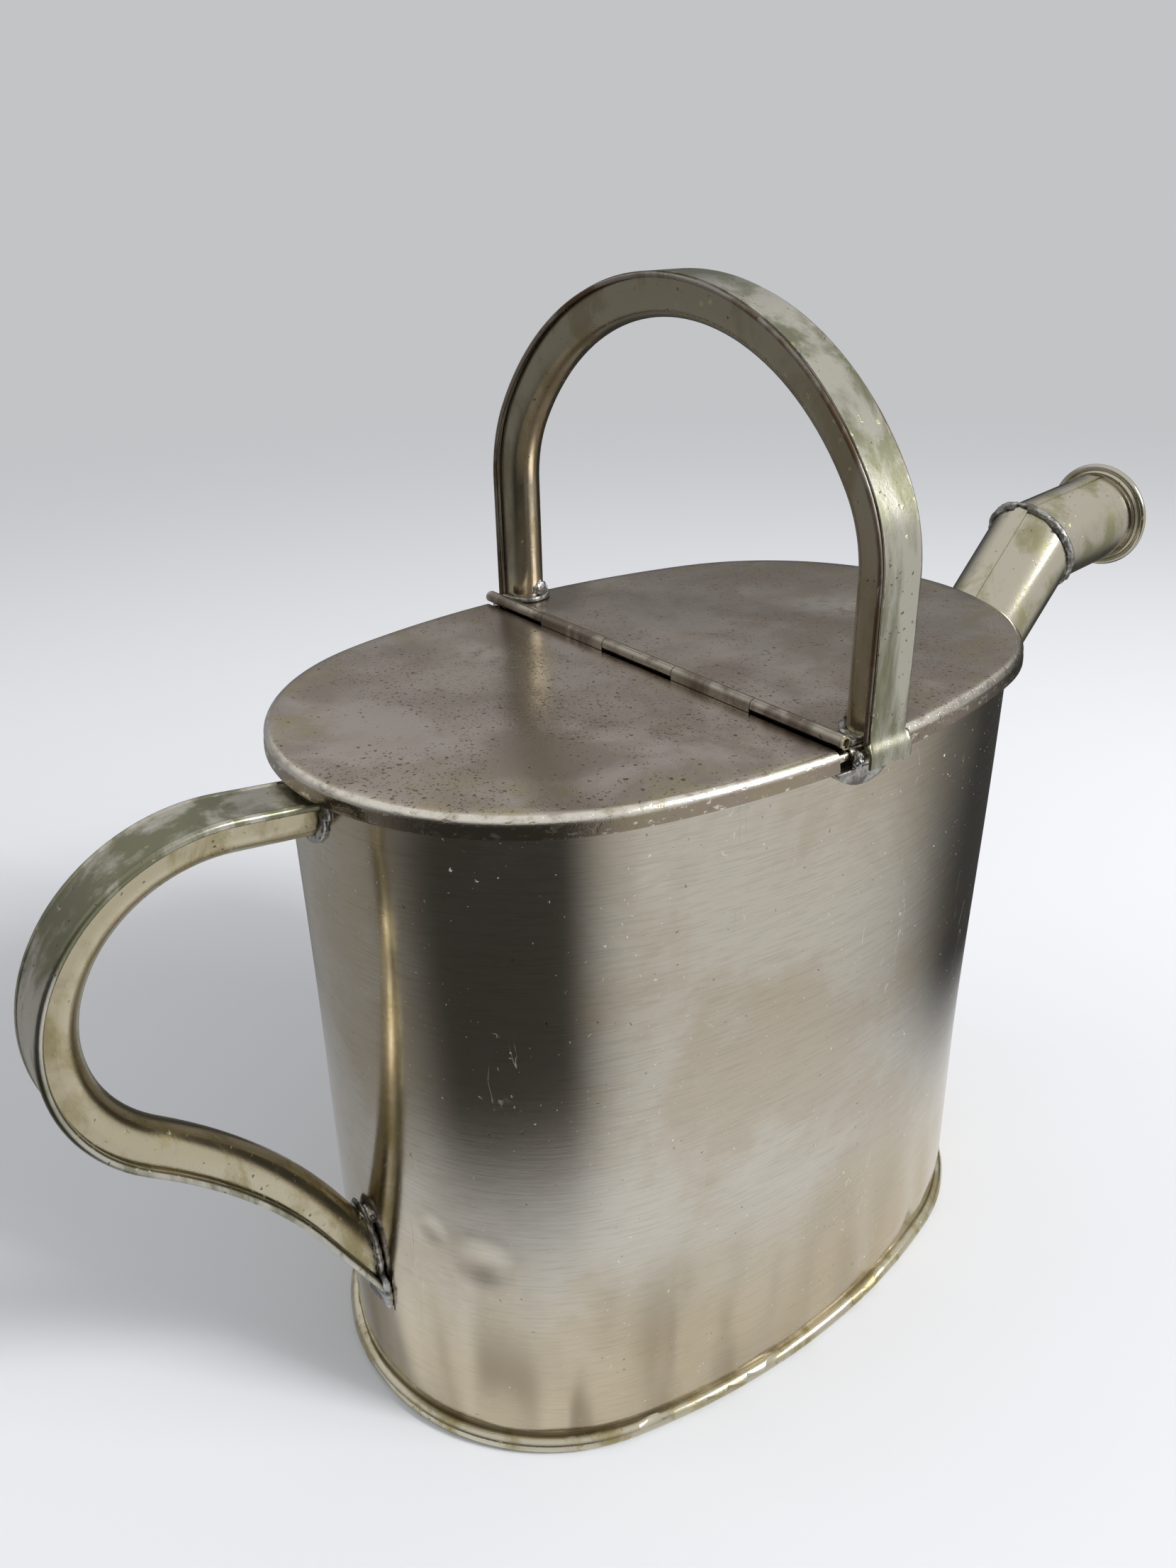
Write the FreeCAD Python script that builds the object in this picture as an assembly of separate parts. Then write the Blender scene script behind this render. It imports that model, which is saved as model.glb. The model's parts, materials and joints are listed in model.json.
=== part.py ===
import FreeCAD, Part
import math
import os

os.makedirs("parts", exist_ok=True)

V = FreeCAD.Vector
UP = V(0, 0, 1)
ORIGIN = V(0, 0, 0)

# An oval sheet-metal watering can of about nine litres. Millimetres, +Z up, +X towards the
# spout. The origin is the middle of the base, on the surface that the can stands on.

# --- the oval: two end arcs and two flatter side arcs, tangent to each other ---
# A parallel oval is named by the radius of its end arcs: its half length is END_CENTRE + radius.
END_CENTRE = 55.5
SIDE_CENTRE = 201.6
SIDE_OVER_END = math.hypot(END_CENTRE, SIDE_CENTRE)
JOIN_ANGLE = math.degrees(math.atan2(SIDE_CENTRE, END_CENTRE))

# --- sheet and fits ---
SHEET = 0.8
COVER_SHEET = 0.7
SOLDER_GAP = 0.05
PIN_GAP = 0.07
MOVING_GAP = 0.3

# --- body ---
WALL_RADIUS = 78.5
PLATE_TOP = 248.0
COVER_RADIUS = 83.5
COVER_DEPTH = 6.3
COVER_ROUND = 2.2
RIM_ROLL_RADIUS = 1.9
RIM_WIRE_RADIUS = 1.1
RIM_CENTRE_RADIUS = WALL_RADIUS + 1.7
RIM_CENTRE_HEIGHT = 244.8
FOOT_ROLL_RADIUS = 2.8
FOOT_WIRE_RADIUS = 1.9
FOOT_CENTRE_RADIUS = 79.2
FOOT_FLAT = 0.12
BOTTOM_HEIGHT = 6.0
BOTTOM_FLANGE = 6.0
WALL_SEAM_WIDTH = 9.0

# --- hinge between the lid and the fixed front cover ---
HINGE_X = -12.5
HINGE_Z = PLATE_TOP + 2.1
HINGE_HALF = 89.4
KNUCKLES = 5
KNUCKLE_RADIUS = 2.1
PIN_RADIUS = 1.2
LEAF_REACH = 14.0
LEAF_HALF = 84.0
END_WEB_LIFT = 0.4
TONGUE_X = -3.8
TONGUE_RADIUS = 16.0
TONGUE_DEPTH = 6.0

# --- handles: a flat strap with wired edges over a half-round channel ---
HANDLE_DEPTH = 13.5
EDGE_ROLL = 1.3
EDGE_WIRE = 0.75
STRAP_SINK = 0.4
STRAP_SHEET = 1.0
CHANNEL_SHEET = 0.7
CHANNEL_INSET = 1.6
TOP_HANDLE_X = 1.6
TOP_HANDLE_WIDTH = 18.6
TOP_HALF_SPAN = 93.0
TOP_APEX = 368.5
TOP_ARC_RADIUS = 100.0
TOP_SHOULDER_RADIUS = 55.0
FOOT_FLARE = 2.6
REAR_HANDLE_WIDTH = 20.5
REAR_START_HEIGHT = 239.6
REAR_START_HEADING = 173.3
REAR_TOP_RUN = 23.3
REAR_BOW_RADIUS = 57.0
REAR_BOW_TURN = 148.0
REAR_SWEEP_RADIUS = 176.0
REAR_SWEEP_TURN = -24.0
REAR_LOWER_RUN = 43.0

# --- spout ---
SPOUT_RADIUS = 18.7
SPOUT_ELBOW = V(206.0, 0, 249.5)
LOWER_RISE = 47.0
UPPER_RISE = 6.0
UPPER_LENGTH = 50.0
MOUTH_BORE = 18.15
MOUTH_DEPTH = 14.0
LIP_RADIUS = 21.2
LIP_ROLL = 1.5
LIP_WIRE = 0.9
LIP_SLEEVE = 5.0
SEAM_WIDTH = 6.0
SEAM_SHEET = 0.6

SOLDER_WIDTH = 2.2
SOLDER_HEIGHT = 1.8
FAR = 600.0


# ---------------------------------------------------------------- helpers
def arc_edge(cx, cy, radius, start, end, z):
    def at(angle):
        a = math.radians(angle)
        return V(cx + radius * math.cos(a), cy + radius * math.sin(a), z)
    return Part.Arc(at(start), at((start + end) / 2), at(end)).toShape()


def oval_solid(radius, low, high):
    """A solid oval block whose end arcs have this radius."""
    side = radius + SIDE_OVER_END
    j = JOIN_ANGLE
    wire = Part.Wire([
        arc_edge(END_CENTRE, 0, radius, -j, j, low),
        arc_edge(0, -SIDE_CENTRE, side, j, 180 - j, low),
        arc_edge(-END_CENTRE, 0, radius, 180 - j, 180 + j, low),
        arc_edge(0, SIDE_CENTRE, side, 180 + j, 360 - j, low),
    ])
    return Part.Face(wire).extrude(V(0, 0, high - low))


def oval_band(outer, inner, low, high):
    return oval_solid(outer, low, high).cut(oval_solid(inner, low, high))


def oval_ring(radius, height, thickness):
    """A round rod of this thickness (radius) bent to the oval."""
    def bent(x, cx, cy, start, sweep):
        disc = Part.Face(Part.Wire(Part.makeCircle(thickness, V(x, 0, height), V(0, 1, 0))))
        disc.rotate(ORIGIN, UP, start)
        disc.translate(V(cx, cy, 0))
        return disc.revolve(V(cx, cy, 0), UP, sweep)
    j = JOIN_ANGLE
    side = radius + SIDE_OVER_END
    quarters = [
        bent(radius, END_CENTRE, 0, -j, 2 * j),
        bent(side, 0, -SIDE_CENTRE, j, 180 - 2 * j),
        bent(radius, -END_CENTRE, 0, 180 - j, 2 * j),
        bent(side, 0, SIDE_CENTRE, 180 + j, 180 - 2 * j),
    ]
    return quarters[0].multiFuse(quarters[1:]).removeSplitter()


def capped_oval(radius, low, high, round_over):
    """An oval block with its upper edge rounded over."""
    block = oval_solid(radius, low, high)
    rim = [e for e in block.Edges if all(abs(v.Z - high) < 1e-6 for v in e.Vertexes)]
    return block.makeFillet(round_over, rim)


def block(x0, x1, y0, y1, z0, z1):
    return Part.makeBox(x1 - x0, y1 - y0, z1 - z0, V(x0, y0, z0))


def plane_point(u, v, plane, offset):
    """A point of a path's plane: 'xz' at this y, or 'yz' at this x."""
    if plane == "xz":
        return V(u, offset, v)
    return V(offset, u, v)


def trace(start, heading, moves, plane, offset):
    """A wire of runs ('run', length) and tangent arcs ('bend', radius, turn in degrees)."""
    u, v = start
    a = math.radians(heading)
    edges = []
    for move in moves:
        if move[0] == "run":
            end = (u + move[1] * math.cos(a), v + move[1] * math.sin(a))
            edges.append(Part.LineSegment(plane_point(u, v, plane, offset),
                                          plane_point(*end, plane, offset)).toShape())
            u, v = end
            continue
        radius, turn = move[1], math.radians(move[2])
        side = math.copysign(1, turn)
        cu = u - radius * side * math.sin(a)
        cv = v + radius * side * math.cos(a)

        def at(part):
            b = a + turn * part
            return (cu + radius * side * math.sin(b), cv - radius * side * math.cos(b))
        points = [plane_point(*at(part), plane, offset) for part in (0, 0.5, 1)]
        edges.append(Part.Arc(*points).toShape())
        u, v = at(1)
        a += turn
    return Part.Wire(edges)


class Rail:
    """A handle's outer line, with the frame that its cross-sections are drawn in.

    A section point (w, d) lies w across the handle and d deep below the outer line.
    """

    def __init__(self, start, heading, moves, plane, offset, inner_side):
        self.wire = trace(start, heading, moves, plane, offset)
        inward = math.radians(heading + 90 * inner_side)
        self.origin = plane_point(*start, plane, offset)
        self.deep = plane_point(math.cos(inward), math.sin(inward), plane, 0)
        self.across = V(0, 1, 0) if plane == "xz" else V(1, 0, 0)
        run = math.radians(heading)
        self.ahead = plane_point(math.cos(run), math.sin(run), plane, 0)

    def at(self, w, d):
        return self.origin + self.across * w + self.deep * d

    def sweep(self, section):
        return self.wire.makePipeShell([section], True, False)

    def polygon(self, points):
        corners = [self.at(w, d) for w, d in points]
        return self.sweep(Part.makePolygon(corners + corners[:1]))

    def rod(self, w, d, radius):
        return self.sweep(Part.Wire(Part.makeCircle(radius, self.at(w, d), self.ahead)))

    def half_round(self, half_width, shallow, deep):
        """A straight-sided trough with a round bottom, filled solid."""
        spring = deep - half_width
        edges = [
            Part.LineSegment(self.at(-half_width, shallow), self.at(-half_width, spring)),
            Part.Arc(self.at(-half_width, spring), self.at(0, deep), self.at(half_width, spring)),
            Part.LineSegment(self.at(half_width, spring), self.at(half_width, shallow)),
            Part.LineSegment(self.at(half_width, shallow), self.at(-half_width, shallow)),
        ]
        return self.sweep(Part.Wire([e.toShape() for e in edges]))


def handle_strap(rail, width):
    """A flat strap whose two edges are rolled round a wire."""
    half = width / 2 - EDGE_ROLL
    low = STRAP_SINK + STRAP_SHEET
    solid = rail.polygon([(-half, STRAP_SINK), (half, STRAP_SINK), (half, low), (-half, low)])
    for side in (-1, 1):
        solid = solid.fuse(rail.rod(side * half, EDGE_ROLL, EDGE_ROLL))
    for side in (-1, 1):
        solid = solid.cut(rail.rod(side * half, EDGE_ROLL, EDGE_WIRE + SOLDER_GAP))
    return solid


def handle_wires(rail, width):
    half = width / 2 - EDGE_ROLL
    return [rail.rod(side * half, EDGE_ROLL, EDGE_WIRE) for side in (-1, 1)]


def handle_channel(rail, width, shallow=STRAP_SINK + STRAP_SHEET + SOLDER_GAP):
    """The half-round sheet under the strap; its lips stand between the rolled edges."""
    half = width / 2 - 2 * EDGE_ROLL - SOLDER_GAP
    outside = rail.half_round(half, shallow, HANDLE_DEPTH)
    inside = rail.half_round(half - CHANNEL_SHEET, shallow - 1, HANDLE_DEPTH - CHANNEL_SHEET)
    return outside.cut(inside)


def handle_outline(rail, width, extra):
    """The whole handle as one solid bar, grown by extra all round."""
    half = width / 2
    shape = rail.half_round(half - 2 * EDGE_ROLL + extra, -extra, HANDLE_DEPTH + extra)
    strap = rail.polygon([(-half - extra, -extra), (half + extra, -extra),
                          (half + extra, 2 * EDGE_ROLL + extra),
                          (-half - extra, 2 * EDGE_ROLL + extra)])
    return shape.fuse(strap)


NODES = {}


def keep(name, *shapes):
    solids = [s for shape in shapes for s in shape.Solids]
    NODES[name] = solids[0] if len(solids) == 1 else Part.makeCompound(solids)


# ---------------------------------------------------------------- spout geometry
def direction(rise):
    a = math.radians(rise)
    return V(math.cos(a), 0, math.sin(a))


LOWER_AXIS = direction(LOWER_RISE)
UPPER_AXIS = direction(UPPER_RISE)
MITRE_NORMAL = direction((LOWER_RISE + UPPER_RISE) / 2)
MITRE_TURN = (LOWER_RISE - UPPER_RISE) / 2
SPOUT_TIP = SPOUT_ELBOW + UPPER_AXIS * UPPER_LENGTH
WALL_SKIN = oval_solid(WALL_RADIUS + SOLDER_GAP, -10, PLATE_TOP + 10)


def lower_bar(radius):
    """The lower tube's line as a solid bar, from inside the can to past the elbow."""
    length = 150.0
    start = SPOUT_ELBOW - LOWER_AXIS * length
    return Part.makeCylinder(radius, length + 40, start, LOWER_AXIS)


def upper_bar(radius, end=0.0):
    start = SPOUT_ELBOW - UPPER_AXIS * 40
    return Part.makeCylinder(radius, UPPER_LENGTH + 40 + end, start, UPPER_AXIS)


def before_mitre():
    """Everything on the can's side of the elbow's mitre plane."""
    return Part.makeCylinder(FAR, FAR, SPOUT_ELBOW - MITRE_NORMAL * (FAR + SOLDER_GAP), MITRE_NORMAL)


def after_mitre():
    return Part.makeCylinder(FAR, FAR, SPOUT_ELBOW + MITRE_NORMAL * SOLDER_GAP, MITRE_NORMAL)


def tube_seam(bar, rise):
    """The lap along a tube's upper side: a strip one sheet thick, standing on the tube."""
    strip = Part.makeBox(FAR, SEAM_WIDTH, FAR, V(-FAR / 2, -SEAM_WIDTH / 2, 0))
    strip.rotate(ORIGIN, V(0, 1, 0), -rise)
    strip.translate(SPOUT_ELBOW)
    return bar.common(strip)


# ---------------------------------------------------------------- body
def make_body():
    roll = oval_ring(RIM_CENTRE_RADIUS, RIM_CENTRE_HEIGHT, RIM_ROLL_RADIUS)
    bore = oval_ring(RIM_CENTRE_RADIUS, RIM_CENTRE_HEIGHT, RIM_WIRE_RADIUS + SOLDER_GAP)
    foot_top = FOOT_ROLL_RADIUS * 2 - 0.2
    wall = oval_band(WALL_RADIUS, WALL_RADIUS - SHEET, foot_top, RIM_CENTRE_HEIGHT)
    seam = oval_band(WALL_RADIUS + COVER_SHEET, WALL_RADIUS - SHEET / 2,
                     foot_top + 1, RIM_CENTRE_HEIGHT - RIM_ROLL_RADIUS - 0.5)
    seam = seam.common(block(0, FAR, -WALL_SEAM_WIDTH / 2, WALL_SEAM_WIDTH / 2, 0, FAR))
    seam = seam.cut(lower_bar(SPOUT_RADIUS + SOLDER_WIDTH + SOLDER_GAP))
    body = wall.multiFuse([roll, seam]).cut(bore)
    keep("body_wall", body.cut(lower_bar(SPOUT_RADIUS - SHEET)))
    keep("body_rim_wire", oval_ring(RIM_CENTRE_RADIUS, RIM_CENTRE_HEIGHT, RIM_WIRE_RADIUS))


def make_foot():
    centre = FOOT_ROLL_RADIUS - FOOT_FLAT
    roll = oval_ring(FOOT_CENTRE_RADIUS, centre, FOOT_ROLL_RADIUS)
    roll = roll.cut(block(-FAR, FAR, -FAR, FAR, -10, 0))
    roll = roll.cut(oval_ring(FOOT_CENTRE_RADIUS, centre, FOOT_WIRE_RADIUS + SOLDER_GAP))
    wall = oval_band(WALL_RADIUS + SOLDER_GAP, WALL_RADIUS - SHEET - SOLDER_GAP,
                     FOOT_ROLL_RADIUS * 2 - 0.2, PLATE_TOP)
    keep("foot_rim", roll.cut(wall))
    keep("foot_wire", oval_ring(FOOT_CENTRE_RADIUS, centre, FOOT_WIRE_RADIUS))
    outside = WALL_RADIUS - SHEET - SOLDER_GAP
    pan = oval_solid(outside, BOTTOM_HEIGHT, BOTTOM_HEIGHT + BOTTOM_FLANGE)
    hollow = oval_solid(outside - SHEET, BOTTOM_HEIGHT + SHEET, BOTTOM_HEIGHT + BOTTOM_FLANGE + 1)
    keep("bottom_plate", pan.cut(hollow))


# ---------------------------------------------------------------- lid, cover and hinge
def make_covers():
    low = PLATE_TOP - COVER_DEPTH
    outside = capped_oval(COVER_RADIUS, low, PLATE_TOP, COVER_ROUND)
    inside = capped_oval(COVER_RADIUS - COVER_SHEET, low - 1, PLATE_TOP - COVER_SHEET,
                         COVER_ROUND - COVER_SHEET)
    pan = outside.cut(inside)
    slot = KNUCKLE_RADIUS + MOVING_GAP
    keep("lid_plate", pan.common(block(-FAR, HINGE_X - slot, -FAR, FAR, 0, FAR)))
    keep("front_cover", pan.common(block(HINGE_X + slot, FAR, -FAR, FAR, 0, FAR)))


def knuckle_spans():
    """The five knuckles from the near end to the far end, with a gap between neighbours."""
    length = 2 * HINGE_HALF / KNUCKLES
    gap = MOVING_GAP / 2
    starts = [-HINGE_HALF + i * length for i in range(KNUCKLES)]
    return [(y + gap, y + length - gap) for y in starts]


def hinge_leaf(side, spans):
    """A strip under the plate on one side (+1 front, -1 lid) and its knuckles."""
    top = PLATE_TOP - COVER_SHEET - SOLDER_GAP
    low = top - COVER_SHEET
    near = HINGE_X + side * (KNUCKLE_RADIUS - COVER_SHEET)
    web = HINGE_X + side * KNUCKLE_RADIUS
    far = HINGE_X + side * LEAF_REACH
    shape = block(min(near, far), max(near, far), -LEAF_HALF, LEAF_HALF, low, top)
    shape = shape.cut(block(min(near, web), max(near, web), -FAR, FAR, low, top))
    for start, end in spans:
        tube = Part.makeCylinder(KNUCKLE_RADIUS, end - start, V(HINGE_X, start, HINGE_Z), V(0, 1, 0))
        inner, outer = max(start, -LEAF_HALF), min(end, LEAF_HALF)
        upright = block(min(near, web), max(near, web), inner, outer, low, HINGE_Z)
        shape = shape.multiFuse([tube, upright])
        if side > 0:
            ends = block(near, web, start, end, PLATE_TOP - END_WEB_LIFT, HINGE_Z)
            shape = shape.fuse(ends)
    bore = Part.makeCylinder(PIN_RADIUS + PIN_GAP, FAR, V(HINGE_X, -FAR / 2, HINGE_Z), V(0, 1, 0))
    return shape.cut(bore).removeSplitter()


def make_hinge():
    spans = knuckle_spans()
    keep("cover_hinge_leaf", hinge_leaf(1, spans[0::2]))
    keep("lid_hinge_leaf", hinge_leaf(-1, spans[1::2]))
    half = HINGE_HALF - 0.6
    keep("hinge_pin", Part.makeCylinder(PIN_RADIUS, 2 * half, V(HINGE_X, -half, HINGE_Z), V(0, 1, 0)))


def make_hinge_ends():
    """The tongue of solder under the rim at each end of the hinge."""
    rim = COVER_RADIUS + SIDE_OVER_END - SIDE_CENTRE
    high = PLATE_TOP - COVER_DEPTH - 0.4
    centre = high - TONGUE_DEPTH + TONGUE_RADIUS
    tongues = []
    for side in (-1, 1):
        disc = Part.makeCylinder(TONGUE_RADIUS, 5.0, V(TONGUE_X, side * (rim - 5.2), centre), V(0, side, 0))
        tongues.append(disc.common(block(-FAR, FAR, -FAR, FAR, 0, high)).cut(WALL_SKIN))
    keep("hinge_end_solder", *tongues)


# ---------------------------------------------------------------- handles
def top_rail(start_height):
    reach = TOP_HALF_SPAN - TOP_SHOULDER_RADIUS
    spare = TOP_ARC_RADIUS - TOP_SHOULDER_RADIUS
    turn = math.degrees(math.acos(reach / spare))
    spring = TOP_APEX - TOP_ARC_RADIUS + spare * math.sin(math.radians(turn))
    moves = [
        ("run", spring - start_height),
        ("bend", TOP_SHOULDER_RADIUS, -turn),
        ("bend", TOP_ARC_RADIUS, -(180 - 2 * turn)),
        ("bend", TOP_SHOULDER_RADIUS, -turn),
        ("run", spring - start_height),
    ]
    return Rail((-TOP_HALF_SPAN, start_height), 90, moves, "yz", TOP_HANDLE_X, -1)


def strap_foot(side):
    """The strap's end, flared out over the cover's rim and soldered to it."""
    high = PLATE_TOP + SOLDER_GAP
    low = PLATE_TOP - COVER_DEPTH
    outer = TOP_HALF_SPAN - STRAP_SINK
    inner = outer - STRAP_SHEET
    profile = [(outer, high + 1), (outer, high), (outer + FOOT_FLARE, low),
               (inner + FOOT_FLARE, low), (inner, high), (inner, high + 1)]
    x = TOP_HANDLE_X - TOP_HANDLE_WIDTH / 2
    points = [V(x, side * y, z) for y, z in profile]
    foot = Part.Face(Part.makePolygon(points + points[:1])).extrude(V(TOP_HANDLE_WIDTH, 0, 0))
    return foot


def make_top_handle():
    rail = top_rail(PLATE_TOP + SOLDER_GAP)
    bore_rail = top_rail(PLATE_TOP - 1)
    strap = handle_strap(rail, TOP_HANDLE_WIDTH)
    strap = strap.multiFuse([strap_foot(-1), strap_foot(1)])
    half = TOP_HANDLE_WIDTH / 2 - EDGE_ROLL
    for side in (-1, 1):
        strap = strap.cut(bore_rail.rod(side * half, EDGE_ROLL, EDGE_WIRE + SOLDER_GAP))
    keep("top_handle_strap", strap)
    keep("top_handle_channel", handle_channel(rail, TOP_HANDLE_WIDTH))
    keep("top_handle_edge_wires", *handle_wires(rail, TOP_HANDLE_WIDTH))
    fillet = handle_outline(rail, TOP_HANDLE_WIDTH, SOLDER_WIDTH)
    fillet = fillet.cut(handle_outline(rail, TOP_HANDLE_WIDTH, SOLDER_GAP))
    low = PLATE_TOP + SOLDER_GAP
    inside = TOP_HALF_SPAN - 3.5
    slab = block(TOP_HANDLE_X - FAR, TOP_HANDLE_X + FAR, -inside, inside, low, low + SOLDER_HEIGHT)
    barrel = block(-FAR, HINGE_X + KNUCKLE_RADIUS + MOVING_GAP + 0.3, -FAR, FAR, 0, FAR)
    keep("top_handle_solder", fillet.common(slab).cut(barrel))


def rear_rail():
    back = 8.0
    a = math.radians(REAR_START_HEADING)
    x = -(END_CENTRE + WALL_RADIUS) - back * math.cos(a)
    z = REAR_START_HEIGHT - back * math.sin(a)
    moves = [
        ("run", REAR_TOP_RUN + back),
        ("bend", REAR_BOW_RADIUS, REAR_BOW_TURN),
        ("bend", REAR_SWEEP_RADIUS, REAR_SWEEP_TURN),
        ("run", REAR_LOWER_RUN + 18),
    ]
    return Rail((x, z), REAR_START_HEADING, moves, "xz", 0.0, 1)


def make_rear_handle():
    rail = rear_rail()
    keep("rear_handle_strap", handle_strap(rail, REAR_HANDLE_WIDTH).cut(WALL_SKIN))
    keep("rear_handle_channel", handle_channel(rail, REAR_HANDLE_WIDTH).cut(WALL_SKIN))
    keep("rear_handle_edge_wires", *[w.cut(WALL_SKIN) for w in handle_wires(rail, REAR_HANDLE_WIDTH)])
    ring = handle_outline(rail, REAR_HANDLE_WIDTH, SOLDER_WIDTH)
    ring = ring.cut(handle_outline(rail, REAR_HANDLE_WIDTH, SOLDER_GAP))
    skin = oval_band(WALL_RADIUS + SOLDER_HEIGHT, WALL_RADIUS + SOLDER_GAP, 20, PLATE_TOP)
    ring = ring.common(skin)
    clear_of_lid = PLATE_TOP - COVER_DEPTH - 0.5
    keep("rear_handle_upper_solder", ring.common(block(-FAR, 0, -FAR, FAR, 150, clear_of_lid)))
    keep("rear_handle_lower_solder", ring.common(block(-FAR, 0, -FAR, FAR, 0, 150)))


# ---------------------------------------------------------------- spout
def make_spout():
    inner = SPOUT_RADIUS - SHEET
    lower = lower_bar(SPOUT_RADIUS).fuse(tube_seam(lower_bar(SPOUT_RADIUS + SEAM_SHEET), LOWER_RISE))
    lower = lower.cut(lower_bar(inner)).common(before_mitre()).cut(WALL_SKIN)
    keep("spout_lower_tube", lower)
    seam = tube_seam(upper_bar(SPOUT_RADIUS + SEAM_SHEET, -LIP_SLEEVE - 1), UPPER_RISE)
    upper = upper_bar(SPOUT_RADIUS).fuse(seam)
    mouth = Part.makeCylinder(MOUTH_BORE, MOUTH_DEPTH + 1, SPOUT_TIP - UPPER_AXIS * MOUTH_DEPTH, UPPER_AXIS)
    keep("spout_upper_tube", upper.cut(upper_bar(inner, 1)).cut(mouth).common(after_mitre()))


def make_spout_solder():
    long_half = SPOUT_RADIUS / math.cos(math.radians(MITRE_TURN))
    across = V(0, 1, 0)
    down = MITRE_NORMAL.cross(across)
    ellipse = Part.Ellipse(SPOUT_ELBOW + down * long_half, SPOUT_ELBOW + across * SPOUT_RADIUS,
                           SPOUT_ELBOW)
    path = Part.Wire(ellipse.toShape())
    start = SPOUT_ELBOW + down * long_half
    bead = Part.Wire(Part.makeCircle(SOLDER_HEIGHT, start, across))
    ring = path.makePipeShell([bead], True, True)
    bars = lower_bar(SPOUT_RADIUS + SOLDER_GAP).common(before_mitre())
    bars = bars.fuse(upper_bar(SPOUT_RADIUS + SOLDER_GAP).common(after_mitre()))
    seams = tube_seam(lower_bar(SPOUT_RADIUS + SEAM_SHEET + SOLDER_GAP), LOWER_RISE)
    seams = seams.fuse(tube_seam(upper_bar(SPOUT_RADIUS + SEAM_SHEET + SOLDER_GAP), UPPER_RISE))
    gap = Part.makeCylinder(SPOUT_RADIUS, 1, SPOUT_ELBOW - MITRE_NORMAL * 0.5, MITRE_NORMAL)
    keep("spout_elbow_solder", ring.cut(bars).cut(seams).cut(gap))
    collar = lower_bar(SPOUT_RADIUS + SOLDER_WIDTH).cut(lower_bar(SPOUT_RADIUS + SOLDER_GAP))
    skin = oval_band(WALL_RADIUS + SOLDER_HEIGHT, WALL_RADIUS + SOLDER_GAP, 60, PLATE_TOP - COVER_DEPTH)
    collar = collar.common(skin).common(block(0, FAR, -FAR, FAR, 0, FAR))
    keep("spout_base_solder", collar.cut(tube_seam(lower_bar(SPOUT_RADIUS + 1), LOWER_RISE)))


def revolved_on_spout(points):
    """A ring about the upper tube's axis; a point is (distance past the tip, radius)."""
    side = V(0, 1, 0).cross(UPPER_AXIS)
    corners = [SPOUT_TIP + UPPER_AXIS * s + side * r for s, r in points]
    face = Part.Face(Part.makePolygon(corners + corners[:1]))
    return face.revolve(SPOUT_TIP, UPPER_AXIS, 360)


def lip_rod(radius):
    side = V(0, 1, 0).cross(UPPER_AXIS)
    centre = SPOUT_TIP + side * LIP_RADIUS
    disc = Part.Face(Part.Wire(Part.makeCircle(radius, centre, V(0, 1, 0))))
    return disc.revolve(SPOUT_TIP, UPPER_AXIS, 360)


def make_lip():
    """A sleeve on the tube's end, flared out to an edge that is rolled round a wire."""
    bore = SPOUT_RADIUS + SOLDER_GAP
    skin = bore + COVER_SHEET
    sleeve = revolved_on_spout([(-LIP_SLEEVE, bore), (-LIP_SLEEVE, skin), (-2.2, skin),
                                (0.2, LIP_RADIUS), (0.9, LIP_RADIUS), (-1.4, bore)])
    roll = lip_rod(LIP_ROLL)
    tube = upper_bar(bore)
    keep("spout_lip", sleeve.fuse(roll).cut(lip_rod(LIP_WIRE + SOLDER_GAP)).cut(tube))
    keep("spout_lip_wire", lip_rod(LIP_WIRE))


for make in (make_body, make_foot, make_covers, make_hinge, make_hinge_ends,
             make_top_handle, make_rear_handle, make_spout, make_spout_solder, make_lip):
    make()

for name, shape in NODES.items():
    shape.exportStep(os.path.join("parts", name + ".step"))
    box = shape.BoundBox
    print("%-26s solids %d  valid %s  x %.1f..%.1f  y %.1f..%.1f  z %.1f..%.1f  vol %.0f" % (
        name, len(shape.Solids), shape.isValid(), box.XMin, box.XMax, box.YMin, box.YMax,
        box.ZMin, box.ZMax, shape.Volume))
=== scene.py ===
# %% [markdown]
# # An old plated watering can
# The can is folded, wired and soldered from thin plated sheet. Its frame (the sub-parts, their
# sizes and the lid's hinge) is already made. This lesson loads that frame and gives it its looks:
# dents, lumps of solder, rolled edges and worn metal. Lengths are in metres, +X points to the
# spout and +Z up.

# %% Load the frame
import json
import math
import bpy
import bmesh
import numpy as np
from mathutils import Matrix, Quaternion, Vector, noise


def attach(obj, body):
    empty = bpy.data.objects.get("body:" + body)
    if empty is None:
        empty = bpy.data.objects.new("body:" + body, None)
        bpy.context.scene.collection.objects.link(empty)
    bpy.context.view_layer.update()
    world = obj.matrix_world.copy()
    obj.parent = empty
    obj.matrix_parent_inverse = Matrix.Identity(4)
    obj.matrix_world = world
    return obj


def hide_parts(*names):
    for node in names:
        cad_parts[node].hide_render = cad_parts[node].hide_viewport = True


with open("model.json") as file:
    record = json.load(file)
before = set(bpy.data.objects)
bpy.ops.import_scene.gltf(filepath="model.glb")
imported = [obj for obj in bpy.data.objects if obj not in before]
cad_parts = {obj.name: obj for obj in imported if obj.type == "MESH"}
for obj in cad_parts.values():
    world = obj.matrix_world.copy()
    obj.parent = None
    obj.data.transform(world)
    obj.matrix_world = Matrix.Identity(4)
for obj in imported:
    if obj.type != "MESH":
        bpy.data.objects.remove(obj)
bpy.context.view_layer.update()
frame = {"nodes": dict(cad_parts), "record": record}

NODES = frame["nodes"]
MM = 0.001

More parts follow.
